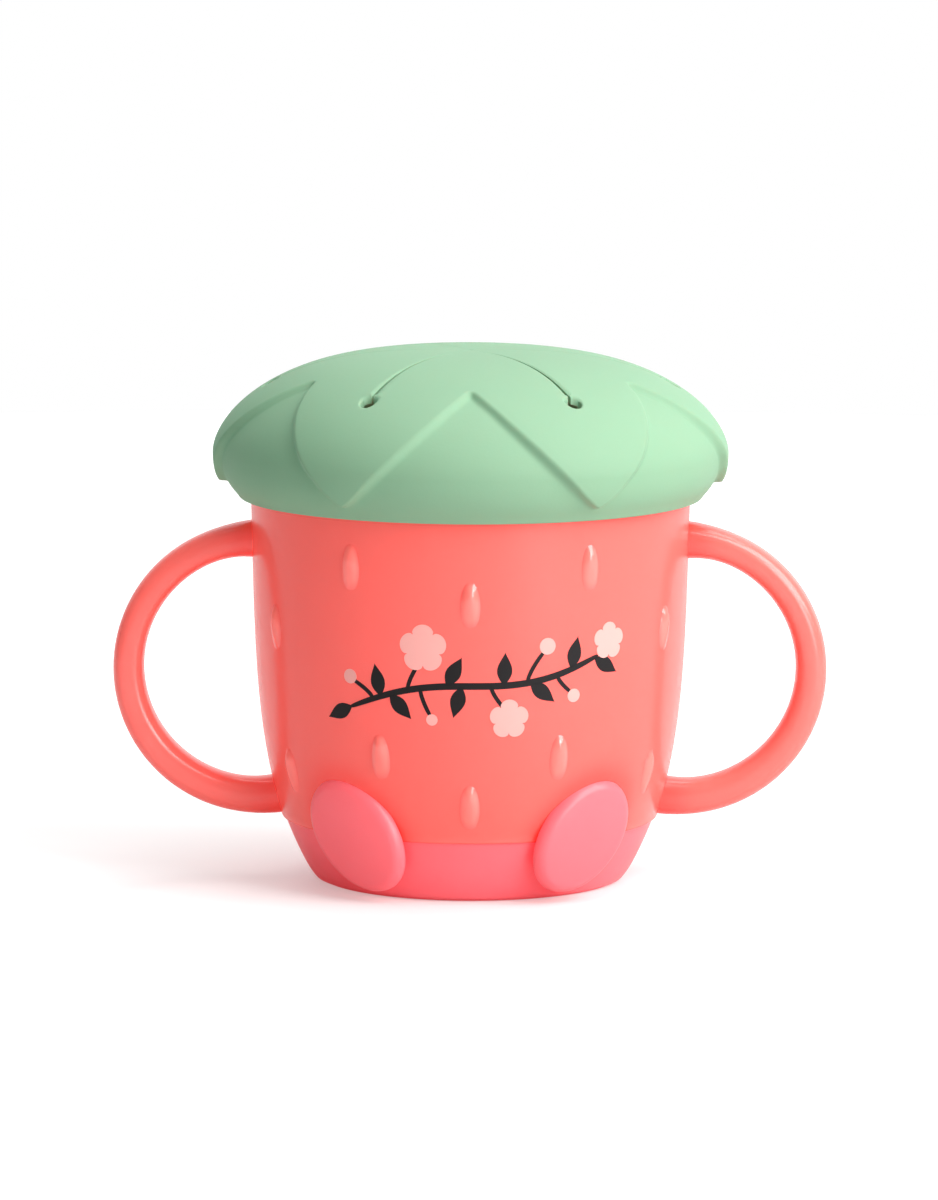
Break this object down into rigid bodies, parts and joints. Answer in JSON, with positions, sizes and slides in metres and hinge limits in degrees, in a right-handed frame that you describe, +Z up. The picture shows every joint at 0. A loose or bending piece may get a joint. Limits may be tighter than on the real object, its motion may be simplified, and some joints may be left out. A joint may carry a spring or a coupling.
{
  "type": "toddler snack container",
  "caption": "Two-handled toddler snack cup with a soft boot and foot pads, a domed leaf lid that lifts off, and sprung flaps that a small hand pushes through.",
  "frame": {"origin": "centre of the underside, on the surface that the cup stands on", "axes": "+Z up, +X through the right handle, -Y towards the foot pads at the front"},
  "size_m": [0.1384, 0.0966, 0.1035],
  "materials": {
    "cup_plastic": "translucent coral polypropylene, satin gloss",
    "seed_plastic": "lighter pink, gloss",
    "boot_soft": "soft pink elastomer, satin",
    "lid_soft": "soft mint elastomer, matt",
    "ring_plastic": "stiff mint plastic, satin"
  },
  "bodies": {
    "cup": {"cup_shell": "cup_plastic", "left_handle": "cup_plastic", "right_handle": "cup_plastic", "seed_dots": "seed_plastic", "base_boot": "boot_soft", "left_foot": "boot_soft", "right_foot": "boot_soft"},
    "lid": {"lid_cap": "lid_soft", "lid_ring": "ring_plastic"},
    "flap_1": {"flap_1": "lid_soft"},
    "flap_2": {"flap_2": "lid_soft"},
    "flap_3": {"flap_3": "lid_soft"},
    "flap_4": {"flap_4": "lid_soft"},
    "flap_5": {"flap_5": "lid_soft"},
    "flap_6": {"flap_6": "lid_soft"}
  },
  "joints": [
    {"name": "lid_lift", "type": "slide", "parent": "cup", "child": "lid", "axis": [0, 0, 1], "range_m": [0, 0.05]},
    {"name": "flap_1_hinge", "type": "hinge", "parent": "lid", "child": "flap_1", "pos_m": [0, -0.0312, 0.09835], "axis": [-1, 0, 0], "range_deg": [-20, 70], "stiffness_Nm_per_rad": 0.02},
    {"name": "flap_2_hinge", "type": "hinge", "parent": "lid", "child": "flap_2", "pos_m": [0.02702, -0.0156, 0.09835], "axis": [-0.5, -0.866, 0], "range_deg": [-20, 70], "stiffness_Nm_per_rad": 0.02},
    {"name": "flap_3_hinge", "type": "hinge", "parent": "lid", "child": "flap_3", "pos_m": [0.02702, 0.0156, 0.09835], "axis": [0.5, -0.866, 0], "range_deg": [-20, 70], "stiffness_Nm_per_rad": 0.02},
    {"name": "flap_4_hinge", "type": "hinge", "parent": "lid", "child": "flap_4", "pos_m": [0, 0.0312, 0.09835], "axis": [1, 0, 0], "range_deg": [-20, 70], "stiffness_Nm_per_rad": 0.02},
    {"name": "flap_5_hinge", "type": "hinge", "parent": "lid", "child": "flap_5", "pos_m": [-0.02702, 0.0156, 0.09835], "axis": [0.5, 0.866, 0], "range_deg": [-20, 70], "stiffness_Nm_per_rad": 0.02},
    {"name": "flap_6_hinge", "type": "hinge", "parent": "lid", "child": "flap_6", "pos_m": [-0.02702, -0.0156, 0.09835], "axis": [-0.5, 0.866, 0], "range_deg": [-20, 70], "stiffness_Nm_per_rad": 0.02}
  ]
}
